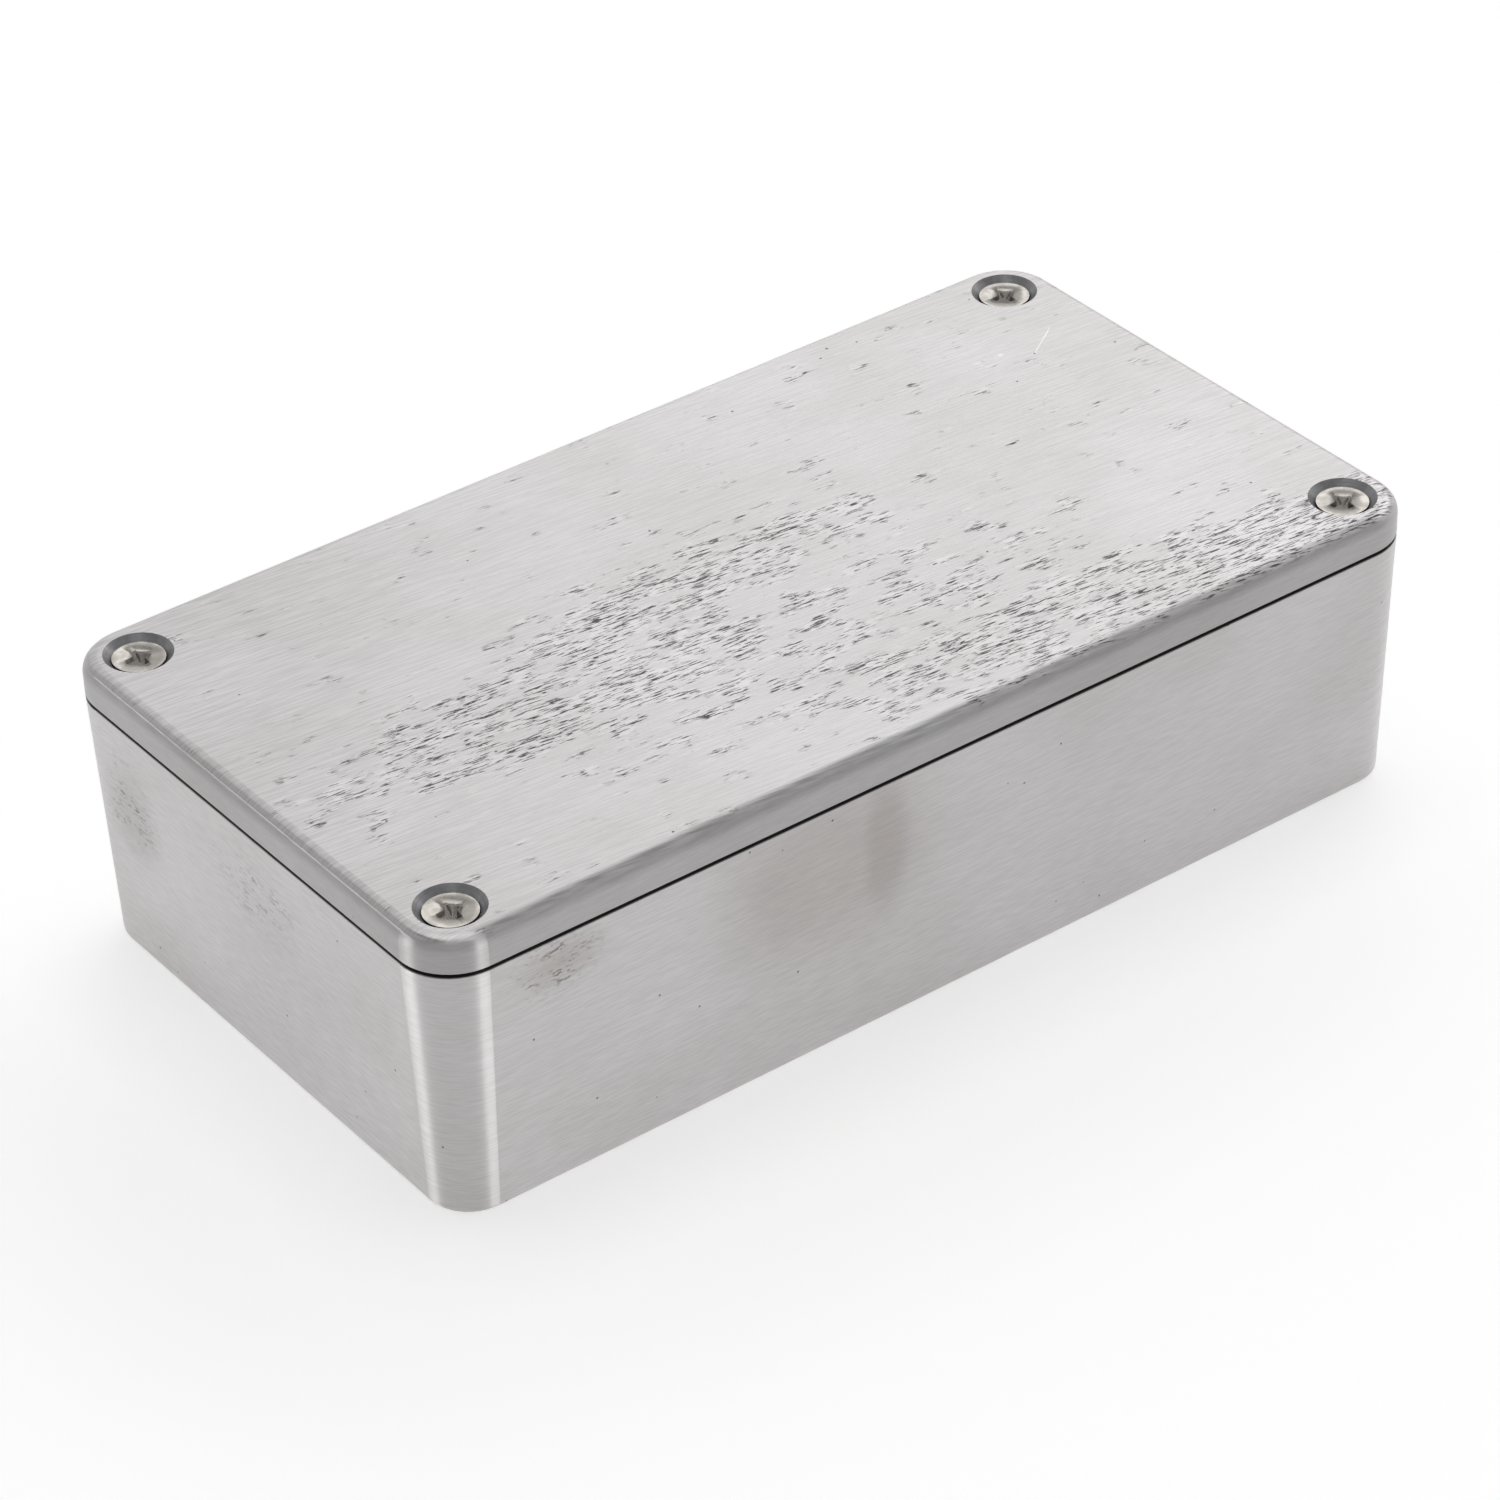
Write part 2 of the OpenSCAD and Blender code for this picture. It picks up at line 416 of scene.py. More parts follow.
@dataclass(frozen=True)
class BrushedSkin:
    """Brushed bare aluminium of the outside, with its marks of use, a painted shade along the seam, and
    sides that side_level darkens as painted shade.

    Faces count as level or as sides by the upright part of their normal, blended over level_ramp.
    """

    name: str
    seam_z_mm: float
    marks: tuple[SoftMark, ...] = ()
    scuffs: tuple[ScuffedArea, ...] = ()
    scratch: Scratch | None = None
    # Colour factor of the side faces against the level ones, a painted shade where below 1
    side_level: float = 1.0
    colour: Rgb = (0.70, 0.687, 0.69)
    side_roughness: float = 0.46
    top_roughness: float = 0.33
    line_roughness: float = 0.03
    anisotropy: float = 0.92
    level_ramp: Ramp = (0.55, 0.9)
    top_turn_deg: float = -5.0
    side_lines: Grain = Grain((0.45, 0.45, 6.5), 4.0)
    top_lines: Grain = Grain((0.28, 6.0, 1.0), 4.0)
    line_ramp: Ramp = (0.34, 0.66)
    line_height_mm: float = 0.0009
    side_contrast: float = 0.075
    top_contrast: float = 0.14
    patches: Grain = Grain((0.045, 0.045, 0.06), 3.0)
    patch_ramp: Ramp = (0.35, 0.65)
    patch_tint: Rgb = (0.94, 0.925, 0.925)
    pits_per_mm: float = 0.3
    pit_ramp: Ramp = (0.02, 0.045)
    crowds: Grain = Grain((0.24, 0.5, 0.1), 4.0)
    crowd_ramp: Ramp = (0.58, 0.70)
    dashes: Grain = Grain((0.75, 6.8, 1.0), 3.0)
    nick_ramp: Ramp = (0.55, 0.575)
    burr_ramp: Ramp = (0.51, 0.44)
    # Near-black painted shade on the bevels along the seam, standing for the dark gap between lid and base
    seam_shade_colour: Rgb = (0.02, 0.02, 0.02)
    seam_shade_ramp_mm: Ramp = (0.14, 0.28)
    seam_shade_level_ramp: Ramp = (0.8, 0.95)

    def build(self) -> bpy.types.Material:
        """Makes the material.

        Returns:
            A brushed metal on Object coordinates.
        """
        bench = MetalBench(self.name)
        bench.give("Anisotropic", self.anisotropy)
        normal = bench.add("ShaderNodeNewGeometry").outputs["Normal"]
        upright = bench.math("ABSOLUTE", bench.height(normal))
        level = bench.fade(upright, *self.level_ramp)
        turned = self.turned(bench)
        lines = self.brush_lines(bench, turned, level)
        wear = self.wear_shares(bench, turned, level)
        colour = self.brushed_colour(bench, lines, level, wear)
        # The bevels along the seam get a near-black painted shade
        seam_shade = self.painted_seam_shade(bench, upright)
        bench.give("Base Color", bench.blend_vectors(seam_shade, colour, self.seam_shade_colour))
        roughness = bench.blend(level, self.side_roughness, self.top_roughness)
        bench.give("Roughness", bench.math("MULTIPLY_ADD", lines, self.line_roughness, roughness))
        bench.give("Normal", self.relief(bench, lines, wear))
        bench.give("Tangent", self.across_brush(bench, normal, level))
        return bench.material

    def turned(self, bench: MetalBench) -> Socket:
        """Turns the coordinates to the brush lines of the level faces.

        Args:
            bench: The metal's bench.

        Returns:
            Coordinates in millimetres, of which the first runs along the lines.
        """
        turn = bench.add("ShaderNodeVectorRotate", rotation_type="Z_AXIS")
        bench.feed(turn.inputs["Vector"], bench.place)
        turn.inputs["Angle"].default_value = math.radians(-self.top_turn_deg)
        return turn.outputs["Vector"]

    def brush_lines(self, bench: MetalBench, turned: Socket, level: Socket) -> Socket:
        """Draws the fine lines of the brush: level on the sides, along the box on level faces.

        Args:
            bench: The metal's bench.
            turned: Coordinates turned to the brush lines of the level faces.
            level: Share of level faces.

        Returns:
            The lines, from -1 to 1.
        """
        side = bench.noise(bench.place, self.side_lines)
        top = bench.noise(turned, self.top_lines)
        return bench.fade(bench.blend(level, side, top), *self.line_ramp, -1.0, 1.0)

    def wear_shares(self, bench: MetalBench, turned: Socket, level: Socket) -> dict[Wear, Socket]:
        """Finds the pits, the nicks with the burrs between them, and the scratch.

        Args:
            bench: The metal's bench.
            turned: Coordinates turned to the brush lines of the level faces.
            level: Share of level faces.

        Returns:
            A share for each kind of wear, 1 within it and 0 elsewhere.
        """
        cells = bench.add("ShaderNodeTexVoronoi", feature="F1")
        bench.feed(cells.inputs["Vector"], bench.place)
        cells.inputs["Scale"].default_value = self.pits_per_mm
        wear = {Wear.PIT: bench.fade(cells.outputs["Distance"], *self.pit_ramp, 1.0, 0.0)}
        if self.scuffs:
            crowd = bench.noise(turned, self.crowds)
            for scuff in self.scuffs:
                crowd = bench.math("ADD", crowd, scuff.crowd(bench))
            crowded = bench.math("MULTIPLY", bench.fade(crowd, *self.crowd_ramp), level)
            dashes = bench.noise(turned, self.dashes)
            for kind, ramp in ((Wear.NICK, self.nick_ramp), (Wear.BURR, self.burr_ramp)):
                wear[kind] = bench.math("MULTIPLY", crowded, bench.fade(dashes, *ramp))
        if self.scratch:
            wear[Wear.SCRATCH] = self.scratch.share(bench)
        return wear

    def brushed_colour(
        self, bench: MetalBench, lines: Socket, level: Socket, wear: dict[Wear, Socket]
    ) -> Socket:
        """Colours the metal: brush lines, painted shade of the sides, soft patches, stains and wear.

        Args:
            bench: The metal's bench.
            lines: Brush lines.
            level: Share of level faces.
            wear: Shares of the kinds of wear.

        Returns:
            The colour.
        """
        contrast = bench.blend(level, self.side_contrast, self.top_contrast)
        colour = bench.vector("MULTIPLY", self.colour, bench.math("MULTIPLY_ADD", lines, contrast, 1.0))
        # The sides are darkened by side_level, a painted shade
        colour = bench.vector("MULTIPLY", colour, bench.blend(level, self.side_level, 1.0))
        patches = bench.fade(bench.noise(bench.place, self.patches), *self.patch_ramp, 1.0, 0.0)
        colour = bench.tint(colour, patches, self.patch_tint)
        for mark in self.marks:
            colour = bench.tint(colour, mark.share(bench), mark.tint)
        for kind, share in wear.items():
            colour = bench.tint(colour, share, kind.tint)
        return colour

    def painted_seam_shade(self, bench: MetalBench, upright: Socket) -> Socket:
        """Finds the bevels along the seam, which get a near-black painted shade of the gap between lid and
        base.

        Args:
            bench: The metal's bench.
            upright: Upright part of the normal, 1 on level faces.

        Returns:
            A share that is 1 on the bevels and 0 on level faces and away from the seam.
        """
        off_seam = bench.math("ABSOLUTE", bench.math("SUBTRACT", bench.height(bench.place), self.seam_z_mm))
        near = bench.fade(off_seam, *self.seam_shade_ramp_mm, 1.0, 0.0)
        return bench.math("MULTIPLY", near, bench.fade(upright, *self.seam_shade_level_ramp, 1.0, 0.0))

    def relief(self, bench: MetalBench, lines: Socket, wear: dict[Wear, Socket]) -> Socket:
        """Gives the brush lines and the wear their relief.

        Args:
            bench: The metal's bench.
            lines: Brush lines.
            wear: Shares of the kinds of wear.

        Returns:
            The bumped normal.
        """
        height = bench.math("MULTIPLY", lines, self.line_height_mm)
        for kind, share in wear.items():
            height = bench.math("MULTIPLY_ADD", share, kind.height_mm, height)
        return bench.bump(height)

    def across_brush(self, bench: MetalBench, normal: Socket, level: Socket) -> Socket:
        """Finds the direction square to the brush lines, along which the gloss spreads.

        Args:
            bench: The metal's bench.
            normal: The surface's normal.
            level: Share of level faces.

        Returns:
            The direction, which turns smoothly over the rounded edges.
        """
        turn = math.radians(self.top_turn_deg)
        towards_back = (-math.sin(turn), math.cos(turn), 0.0)
        towards_front = tuple(-part for part in towards_back)
        faces_back = bench.math("GREATER_THAN", bench.vector("DOT_PRODUCT", normal, (0.0, 1.0, 0.0)), 0.0)
        top = bench.blend_vectors(faces_back, towards_back, towards_front)
        return bench.blend_vectors(level, (0.0, 0.0, 1.0), top)


@dataclass(frozen=True)
class CastSkin:
    """Aluminium as it left the mould, on the inner faces."""

    name: str = "cast_skin"
    colour: Rgb = (0.66, 0.66, 0.665)
    metallic: float = 0.85
    grains: Grain = Grain((1.6, 1.6, 1.6), 5.0)
    grain_ramp: Ramp = (0.3, 0.7)
    grain_levels: Ramp = (0.86, 1.0)
    grain_height_mm: float = 0.05
    flows: Grain = Grain((0.07, 0.07, 0.12), 3.0)
    flow_ramp: Ramp = (0.35, 0.65)
    flow_tint: Rgb = (0.88, 0.88, 0.89)
    roughness: Ramp = (0.56, 0.64)

    def build(self) -> bpy.types.Material:
        """Makes the material.

        Returns:
            A mottled dull metal with a fine grain.
        """
        bench = MetalBench(self.name)
        bench.give("Metallic", self.metallic)
        grain = bench.noise(bench.place, self.grains)
        flow = bench.fade(bench.noise(bench.place, self.flows), *self.flow_ramp)
        mottling = bench.fade(grain, *self.grain_ramp, *self.grain_levels)
        colour = bench.vector("MULTIPLY", self.colour, mottling)
        bench.give("Base Color", bench.tint(colour, flow, self.flow_tint))
        bench.give("Roughness", bench.blend(flow, *self.roughness))
        bench.give("Normal", bench.bump(bench.math("MULTIPLY", grain, self.grain_height_mm)))
        return bench.material


@dataclass(frozen=True)
class TurnedBore:
    """Aluminium with the rings of a cutter, in the screw holes, darkened as a painted shade of the recesses.
    """

    name: str
    screw_mm: tuple[float, float]
    # Far darker than bare aluminium: a painted shade of the recesses
    colour: Rgb = (0.30, 0.30, 0.31)
    anisotropy: float = 0.85
    clouds: Grain = Grain((1.2, 1.2, 1.2), 3.0)
    cloud_ramp: Ramp = (0.3, 0.7)
    cloud_levels: Ramp = (0.85, 1.1)
    roughness: Ramp = (0.26, 0.34)
    ring_rad_per_mm: float = 26.0
    ring_tint: Rgb = (0.94, 0.94, 0.94)
    ring_height_mm: float = 0.002

    def build(self) -> bpy.types.Material:
        """Makes the material.

        Returns:
            A metal whose gloss spreads away from the nearest screw's axis.
        """
        bench = MetalBench(self.name)
        bench.give("Anisotropic", self.anisotropy)
        rings = bench.math("SINE", bench.math("MULTIPLY", bench.height(bench.place), self.ring_rad_per_mm))
        cloud = bench.noise(bench.place, self.clouds)
        clouding = bench.fade(cloud, *self.cloud_ramp, *self.cloud_levels)
        colour = bench.vector("MULTIPLY", self.colour, clouding)
        bench.give("Base Color", bench.tint(colour, rings, self.ring_tint))
        bench.give("Roughness", bench.blend(cloud, *self.roughness))
        bench.give("Normal", bench.bump(bench.math("MULTIPLY", rings, self.ring_height_mm)))
        axis = bench.vector("MULTIPLY", bench.vector("SIGN", bench.place), (*self.screw_mm, 0.0))
        outward = bench.vector("MULTIPLY", bench.vector("SUBTRACT", bench.place, axis), (1.0, 1.0, 0.0))
        bench.give("Tangent", bench.vector("NORMALIZE", outward))
        return bench.material


@dataclass(frozen=True)
class ClearMetal:
    """A plain clouded metal, for the plated screws and for cut threads."""

    name: str
    colour: Rgb
    roughness: Ramp
    clouds: Grain = Grain((0.9, 0.9, 0.9), 4.0)
    cloud_ramp: Ramp = (0.3, 0.7)
    cloud_tint: Rgb = (0.8, 0.8, 0.79)

    def build(self) -> bpy.types.Material:
        """Makes the material.

        Returns:
            A metal whose colour and gloss are slightly uneven.
        """
        bench = MetalBench(self.name)
        cloud = bench.fade(bench.noise(bench.place, self.clouds), *self.cloud_ramp)
        bench.give("Base Color", bench.tint(self.colour, cloud, self.cloud_tint))
        bench.give("Roughness", bench.blend(cloud, *self.roughness))
        return bench.material


NICKEL_PLATING = ClearMetal("nickel_plating", (0.50, 0.475, 0.44), (0.22, 0.34))
CUT_ALUMINIUM = ClearMetal("cut_aluminium", (0.60, 0.60, 0.60), (0.26, 0.38))


@dataclass(frozen=True)
class ThreadSizes:
    """Sizes of one thread. Its radii are those of the face that the sleeve gives it."""

    core_r: float
    crest_r: float
    open_r: float
    outer_r: float
    bottom: float
    top: float
    pitch: float = THREAD_PITCH
    runout: float = THREAD_RUNOUT


class ThreadTree:
    """Geometry Nodes tree of a thread: a sleeve with a helical inner face.

    On a shank the sleeve is the cutter that shapes the thread, at one axis. In holes it is the
    lining, one on each of the piece's points.
    """

    ROUND_STEPS = 48
    CLOSING_ROWS = 3
    FLANK_RAMP = (0.15, 0.85)
    SHARP_DEG = 40.0

    def __init__(self, side: ThreadSide) -> None:
        """Builds the tree.

        Args:
            side: Where the thread is.
        """
        self.side = side
        self.tree = bpy.data.node_groups.new(f"{side.name.lower()}_thread", "GeometryNodeTree")
        self.bench = NodeBench(self.tree)
        self.declare_inputs()
        self.inputs = self.bench.add("NodeGroupInput").outputs
        sleeve = self.sleeve()
        if side is ThreadSide.SHANK:
            threaded = self.cut_from_shank(sleeve)
        else:
            threaded = self.line_holes(sleeve)
        self.finish(threaded)

    def declare_inputs(self) -> None:
        """Names the tree's inputs and its output."""
        kinds = {"Piece": "NodeSocketGeometry", "axis": "NodeSocketVector", "rows": "NodeSocketInt"}
        kinds |= {size.name: "NodeSocketFloat" for size in fields(ThreadSizes)}
        kinds |= {"material": "NodeSocketMaterial"}
        for name, kind in kinds.items():
            self.tree.interface.new_socket(name, in_out="INPUT", socket_type=kind)
        self.tree.interface.new_socket("Piece", in_out="OUTPUT", socket_type="NodeSocketGeometry")

    def sleeve(self) -> Socket:
        """Makes the sleeve round the Z axis from a grid that is rolled up.

        Rows of the grid climb the threaded inner face, then cross to the outer face and come back
        down to the first row.

        Returns:
            The closed sleeve.
        """
        bench, size = self.bench, self.inputs
        grid = bench.add("GeometryNodeMeshGrid")
        grid.inputs["Vertices X"].default_value = self.ROUND_STEPS + 1
        bench.feed(grid.inputs["Vertices Y"], bench.math("ADD", size["rows"], float(self.CLOSING_ROWS)))
        at = bench.add("ShaderNodeSeparateXYZ")
        bench.feed(at.inputs[0], bench.add("GeometryNodeInputPosition").outputs[0])
        # The grid is one unit long each way, with its middle at the origin
        turn = bench.math("SUBTRACT", 0.5, at.outputs["X"])
        steps = bench.math("ADD", size["rows"], self.CLOSING_ROWS - 1.0)
        row = bench.math("ROUND", bench.math("MULTIPLY", bench.math("ADD", at.outputs["Y"], 0.5), steps))

        # Rows are whole numbers, so each test stands half a row before the first row that it finds
        past_inner = bench.math("SUBTRACT", row, size["rows"])
        outside = bench.math("GREATER_THAN", past_inner, -0.5)
        back_down = bench.math("GREATER_THAN", past_inner, 0.5)
        closing = bench.math("GREATER_THAN", past_inner, 1.5)

        climbed = bench.math("DIVIDE", row, bench.math("SUBTRACT", size["rows"], 1.0))
        climbed = bench.math("MINIMUM", climbed, 1.0)
        climbed = bench.math("MULTIPLY", climbed, bench.math("SUBTRACT", 1.0, back_down))
        height = bench.blend(climbed, size["bottom"], size["top"])
        inner = self.inner_radius(height, turn)
        radius = bench.blend(bench.math("SUBTRACT", outside, closing), inner, size["outer_r"])

        angle = bench.math("MULTIPLY", turn, math.tau)
        rolled = bench.add("ShaderNodeCombineXYZ")
        bench.feed(rolled.inputs["X"], bench.math("MULTIPLY", radius, bench.math("COSINE", angle)))
        bench.feed(rolled.inputs["Y"], bench.math("MULTIPLY", radius, bench.math("SINE", angle)))
        bench.feed(rolled.inputs["Z"], height)
        placed = bench.add("GeometryNodeSetPosition")
        bench.feed(placed.inputs["Geometry"], grid.outputs["Mesh"])
        bench.feed(placed.inputs["Position"], rolled.outputs[0])
        return self.weld(placed.outputs["Geometry"])

    def inner_radius(self, height: Socket, turn: Socket) -> Socket:
        """Works out the radius of the threaded face.

        Args:
            height: Height along the axis.
            turn: Share of a full turn round the axis.

        Returns:
            The radius, which opens at both ends where the thread runs out.
        """
        bench, size = self.bench, self.inputs
        turns_up = bench.math("DIVIDE", height, size["pitch"])
        phase = bench.math("FRACT", bench.math("SUBTRACT", turns_up, turn))
        wave = bench.math("MULTIPLY", bench.math("ABSOLUTE", bench.math("SUBTRACT", phase, 0.5)), 2.0)
        flank = bench.add("ShaderNodeMapRange")
        for name, value in zip(("Value", "From Min", "From Max"), (wave, *self.FLANK_RAMP)):
            bench.feed(flank.inputs[name], value)
        threaded = bench.blend(flank.outputs["Result"], size["core_r"], size["crest_r"])
        from_bottom = bench.math("DIVIDE", bench.math("SUBTRACT", height, size["bottom"]), size["runout"])
        from_top = bench.math("DIVIDE", bench.math("SUBTRACT", size["top"], height), size["runout"])
        within = bench.math("MINIMUM", bench.math("MINIMUM", from_bottom, from_top), 1.0)
        return bench.blend(within, size["open_r"], threaded)

    def weld(self, shape: Socket) -> Socket:
        """Joins the points of a shape that lie on each other.

        Args:
            shape: The shape, as it was made.

        Returns:
            The same shape, closed and without faces that have no area.
        """
        welded = self.bench.add("GeometryNodeMergeByDistance")
        self.bench.feed(welded.inputs["Geometry"], shape)
        welded.inputs["Distance"].default_value = WELD_REACH
        return welded.outputs["Geometry"]

    def cut_from_shank(self, sleeve: Socket) -> Socket:
        """Cuts the sleeve, moved to the axis, out of the piece.

        Args:
            sleeve: The cutter.

        Returns:
            The piece with its thread.
        """
        moved = self.bench.add("GeometryNodeTransform")
        self.bench.feed(moved.inputs["Geometry"], sleeve)
        self.bench.feed(moved.inputs["Translation"], self.inputs["axis"])
        cut = self.bench.add("GeometryNodeMeshBoolean", operation="DIFFERENCE", solver="EXACT")
        self.bench.feed(cut.inputs["Mesh 1"], self.inputs["Piece"])
        self.bench.feed(cut.inputs["Mesh 2"], moved.outputs["Geometry"])
        return self.weld(cut.outputs["Mesh"])

    def line_holes(self, sleeve: Socket) -> Socket:
        """Puts a copy of the sleeve on each of the piece's points.

        Args:
            sleeve: The lining of one hole.

        Returns:
            The copies, as instances.
        """
        copies = self.bench.add("GeometryNodeInstanceOnPoints")
        self.bench.feed(copies.inputs["Points"], self.inputs["Piece"])
        self.bench.feed(copies.inputs["Instance"], sleeve)
        return copies.outputs["Instances"]

    def finish(self, threaded: Socket) -> None:
        """Makes the result real, gives it its material and hands it out.

        Args:
            threaded: The threaded piece or the linings.
        """
        bench = self.bench
        real = bench.add("GeometryNodeRealizeInstances")
        bench.feed(real.inputs["Geometry"], threaded)
        dressed = bench.add("GeometryNodeSetMaterial")
        bench.feed(dressed.inputs["Geometry"], real.outputs["Geometry"])
        bench.feed(dressed.inputs["Material"], self.inputs["material"])
        bench.feed(bench.add("NodeGroupOutput").inputs["Piece"], dressed.outputs["Geometry"])

    def run(
        self, name: str, mesh: bpy.types.Mesh, sizes: ThreadSizes, axis: Vector, material: bpy.types.Material
    ) -> bpy.types.Object:
        """Runs the tree on a mesh.

        Args:
            name: Name of the finished piece.
            mesh: The mesh that the tree takes in.
            sizes: The thread's sizes.
            axis: Point on the thread's axis, used on a shank.
            material: The finished piece's material.

        Returns:
            The piece, with a plain mesh and no modifier.
        """
        piece = bpy.data.objects.new(name, mesh)
        bpy.context.scene.collection.objects.link(piece)
        modifier = piece.modifiers.new("thread", "NODES")
        modifier.node_group = self.tree
        rows = round((sizes.top - sizes.bottom) / sizes.pitch * self.side.value)
        values = asdict(sizes) | {"rows": rows, "axis": axis, "material": material}
        for item in self.tree.interface.items_tree:
            if item.in_out == "INPUT" and item.name in values:
                modifier[item.identifier] = values[item.name]
        graph = bpy.context.evaluated_depsgraph_get()
        plain = bpy.data.meshes.new_from_object(piece.evaluated_get(graph), depsgraph=graph)
        piece.modifiers.remove(modifier)
        piece.data = plain
        plain.name = name
        plain.materials.clear()
        plain.materials.append(material)
        plain.shade_smooth()
        plain.set_sharp_from_angle(angle=math.radians(self.SHARP_DEG))
        return piece


@dataclass(frozen=True)
class ZoneFinder:
    """Tells the zones of a casting apart by the place and the direction of its faces."""

    rim: Vector
    screw: Vector
    top_z: float
    corner_r: float = 5.5 * MM
    inside_depth: float = 1.2 * MM
    skin_t: float = 1.5 * MM
    hole_r: float = 3.3 * MM
    level_from: float = 0.95
    on_rim: float = 0.01 * MM

    def zone(self, node: str, face: bpy.types.MeshPolygon) -> Zone:
        """Finds the zone that a face is in.

        Args:
            node: The casting's node.
            face: One of its faces.

        Returns:
            The zone. The rim of the base counts as outside, and the lid's face on it as inside.
        """
        place = Vector(map(abs, face.center))
        if abs(face.normal.z) < self.level_from and (place.xy - self.screw.xy).length < self.hole_r:
            return Zone.HOLE
        if abs(place.z - self.rim.z) < self.on_rim:
            return Zone.OUTSIDE if node == "base" else Zone.INSIDE
        past = [max(part - edge + self.corner_r, 0.0) for part, edge in zip(place.xy, self.rim.xy)]
        depth = self.corner_r - math.hypot(*past)
        if depth > self.inside_depth and self.skin_t < place.z < self.top_z - self.skin_t:
            return Zone.INSIDE
        return Zone.OUTSIDE


@dataclass
class Castings:
    """The base and the lid, which keep the frame's own meshes."""

    # The lid's sides are darkened in colour, a painted shade of its band
    lid_side_painted_shade: float = 0.77
    base_marks: tuple[SoftMark, ...] = (
        SoftMark((-43.2, -30.2, 24.0), (7.0, 3.0, 3.6), (0.82, 0.80, 0.78), core=0.0),
        SoftMark((-43.8, -30.2, 23.8), (6.5, 3.0, 4.2), (0.36, 0.35, 0.34), speckled=True),
        SoftMark((-15.0, -30.0, 20.0), (16.5, 5.0, 15.0), (0.86, 0.84, 0.82)),
        SoftMark((-7.7, -30.0, 20.0), (3.2, 4.0, 10.0), (0.89, 0.885, 0.875), core=0.4),
        SoftMark((-55.7, 20.5, 17.0), (3.0, 6.0, 8.0), (0.86, 0.86, 0.85)),
        SoftMark((-55.7, -4.0, 14.0), (3.0, 17.0, 13.0), (0.93, 0.93, 0.93)),
        SoftMark((-55.7, -19.0, 18.0), (3.0, 6.0, 9.0), (0.94, 0.935, 0.93)),
        SoftMark((-55.2, -2.0, 2.0), (3.0, 32.0, 9.0), (0.94, 0.94, 0.94), core=0.3),
        SoftMark((-55.7, 20.5, 18.0), (3.0, 6.0, 7.0), (0.45, 0.45, 0.45), speckled=True),
        SoftMark((-55.7, -1.0, 20.5), (3.0, 9.0, 6.0), (0.50, 0.50, 0.50), core=0.0, speckled=True),
    )
    lid_marks: tuple[SoftMark, ...] = (
        SoftMark((42.5, 15.6, 30.5), (0.45, 0.30, 0.5), (1.25, 1.25, 1.25)),
        SoftMark((1.0, 23.8, 30.5), (2.6, 0.9, 0.6), (0.55, 0.55, 0.55), speckled=True),
    )
    lid_scuffs: tuple[ScuffedArea, ...] = (
        ScuffedArea((-30.0, -5.0, 30.5), (28.0, 9.0, 3.0), 0.18),
        ScuffedArea((-3.0, 3.0, 30.5), (27.0, 6.5, 3.0), 0.20),
        ScuffedArea((1.0, -14.0, 30.5), (37.0, 14.0, 3.0), 0.12),
        ScuffedArea((26.0, -25.5, 30.5), (36.0, 8.0, 3.0), 0.17),
        ScuffedArea((44.0, -27.0, 30.5), (18.0, 6.0, 3.0), 0.22),
    )
    lid_scratch: Scratch = Scratch((45.5, 13.8, 30.5), (49.7, 16.6, 30.5), 0.09)

    def dress(self) -> None:
        """Puts a finish on each zone of the base and the lid."""
        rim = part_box("base")[1]
        screw = Corner.BACK_RIGHT.axis
        finder = ZoneFinder(rim, screw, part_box("lid")[1].z)
        seam_mm = rim.z / MM
        base = BrushedSkin("brushed_base", seam_mm, self.base_marks)
        lid = BrushedSkin(
            "brushed_lid", seam_mm, self.lid_marks, self.lid_scuffs, self.lid_scratch, self.lid_side_painted_shade
        )
        inside = CastSkin().build()
        bore = TurnedBore("turned_bore", tuple(screw.xy / MM)).build()
        for node, skin in (("base", base), ("lid", lid)):
            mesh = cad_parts[node].data
            mesh.materials.clear()
            finishes = {Zone.OUTSIDE: skin.build(), Zone.INSIDE: inside, Zone.HOLE: bore}
            for zone in Zone:
                mesh.materials.append(finishes[zone])
            for face in mesh.polygons:
                face.material_index = finder.zone(node, face).value
            LOG.info("%s dressed with %s", node, skin.name)


@dataclass
class TappedHoles:
    """Threads in the four screw bosses of the base."""

    core_r: float = 1.20 * MM
    wall_r: float = 1.50 * MM
    outer_r: float = 1.56 * MM
    mouth: float = 0.35 * MM
    depth: float = 13.5 * MM

    def build(self) -> None:
        """Lines the holes with a thread that rides on the base."""
        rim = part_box("base")[1].z
        sizes = ThreadSizes(
            self.core_r, self.wall_r, self.wall_r, self.outer_r, rim - self.depth, rim - self.mouth
        )
        points = bpy.data.meshes.new("hole_axes")
        points.from_pydata([corner.axis for corner in Corner], [], [])
        tree = ThreadTree(ThreadSide.HOLE)
        piece = tree.run("tapped_threads", points, sizes, Vector(), CUT_ALUMINIUM.build())
        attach(piece, "base")
        LOG.info("%s built, %d faces", piece.name, len(piece.data.polygons))


